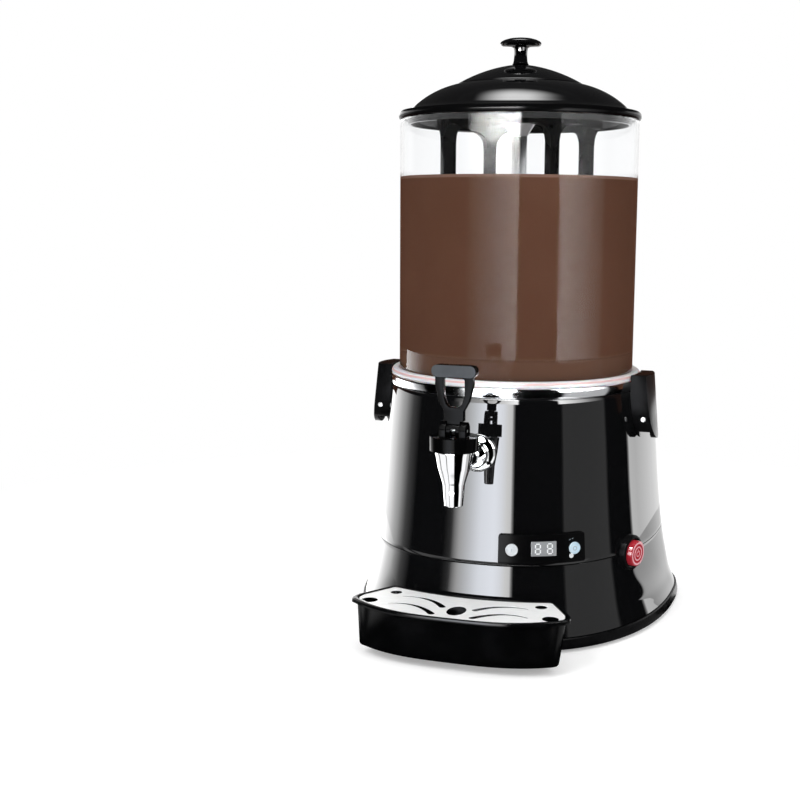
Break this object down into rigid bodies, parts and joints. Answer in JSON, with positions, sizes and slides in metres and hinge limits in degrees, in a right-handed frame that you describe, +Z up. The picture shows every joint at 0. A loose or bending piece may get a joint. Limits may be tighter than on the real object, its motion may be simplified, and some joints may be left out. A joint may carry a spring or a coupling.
{
  "type": "hot chocolate dispenser",
  "caption": "Countertop hot chocolate dispenser: clear tank with agitator over a heated bowl, gloss black flared body, lever tap, control panel and drip tray.",
  "frame": {"origin": "on the table, below the centre of the bounding box", "axes": "+Z up, the tap and the drip tray face -Y, the power switch is on +X"},
  "size_m": [0.331, 0.4388, 0.58],
  "materials": {
    "gloss_black": "high gloss black",
    "satin_black": "satin black",
    "rubber": "matt black rubber",
    "chrome": "polished chrome",
    "steel": "satin stainless steel",
    "plated": "zinc plated sheet",
    "clear": "clear polycarbonate",
    "silicone": "translucent silicone",
    "bronze": "sintered bronze",
    "board": "green circuit board",
    "display": "grey display window",
    "button": "pale grey button",
    "red": "translucent red lit cap",
    "white": "white nylon"
  },
  "bodies": {
    "machine": {"base_ring": "satin_black", "gear_motor": "satin_black", "left_handle": "satin_black", "right_handle": "satin_black", "switch_body": "satin_black", "power_inlet": "satin_black", "base_plate": "plated", "tray_tongue": "plated", "heating_element": "plated", "motor_bridge": "plated", "gearbox": "plated", "power_supply": "plated", "foot_front_left": "rubber", "foot_front_right": "rubber", "foot_back_left": "rubber", "foot_back_right": "rubber", "lower_housing": "gloss_black", "upper_housing": "gloss_black", "tap_bonnet": "gloss_black", "panel_bezel": "gloss_black", "water_bath": "steel", "inner_bowl": "steel", "tap_pin": "steel", "tap_nut": "steel", "left_handle_bracket": "steel", "right_handle_bracket": "steel", "left_handle_screw_front": "steel", "left_handle_screw_back": "steel", "right_handle_screw_front": "steel", "right_handle_screw_back": "steel", "tank_gasket": "silicone", "shank_seal": "silicone", "tap_washer": "silicone", "rim_ring": "chrome", "tap_body": "chrome", "tap_flange": "chrome", "shaft_bush": "bronze", "control_board": "board", "display_window": "display", "bath_thermostat": "white", "switch_nut": "white", "terminal_block": "white"},
    "agitator": {"drive_shaft": "steel", "agitator_cage": "satin_black", "agitator_tube": "steel", "cone_nut": "steel"},
    "tank": {"tank": "clear"},
    "lid": {"lid": "gloss_black", "lid_knob": "gloss_black", "knob_nut": "plated"},
    "tap_lever": {"tap_handle": "gloss_black"},
    "tap_valve": {"tap_stem": "silicone", "tap_spring": "steel"},
    "set_key": {"set_button": "button"},
    "light_key": {"light_button": "button"},
    "power_key": {"power_button": "red"},
    "tray": {"drip_tray": "satin_black"},
    "grid": {"drip_grid": "steel"}
  },
  "joints": [
    {"name": "agitator_spin", "type": "hinge", "parent": "machine", "child": "agitator", "pos_m": [0, 0.01243, 0.3], "axis": [0, 0, 1], "continuous": true},
    {"name": "tank_lift", "type": "slide", "parent": "machine", "child": "tank", "axis": [0, 0, 1], "range_m": [0, 0.27]},
    {"name": "lid_lift", "type": "slide", "parent": "tank", "child": "lid", "axis": [0, 0, 1], "range_m": [0, 0.15]},
    {"name": "tap_lever_turn", "type": "hinge", "parent": "machine", "child": "tap_lever", "pos_m": [0, -0.19758, 0.2185], "axis": [1, 0, 0], "range_deg": [0, 35], "stiffness_Nm_per_rad": 0.3},
    {"name": "tap_valve_lift", "type": "slide", "parent": "machine", "child": "tap_valve", "axis": [0, 0, 1], "range_m": [0, 0.004]},
    {"name": "set_press", "type": "slide", "parent": "machine", "child": "set_key", "axis": [-0.2453, 0.9694, 0], "range_m": [0, 0.0008], "stiffness_N_per_m": 400},
    {"name": "light_press", "type": "slide", "parent": "machine", "child": "light_key", "axis": [-0.6184, 0.7859, 0], "range_m": [0, 0.0008], "stiffness_N_per_m": 400},
    {"name": "power_press", "type": "slide", "parent": "machine", "child": "power_key", "axis": [-0.9336, 0.3584, 0], "range_m": [0, 0.002], "stiffness_N_per_m": 500},
    {"name": "tray_pull", "type": "slide", "parent": "machine", "child": "tray", "axis": [0, -1, 0], "range_m": [0, 0.12]},
    {"name": "grid_lift", "type": "slide", "parent": "tray", "child": "grid", "axis": [0, 0, 1], "range_m": [0, 0.06]}
  ],
  "couplings": [
    {"joint": "tap_valve_lift", "follows": "tap_lever_turn", "m_per_rad": 0.0065}
  ]
}
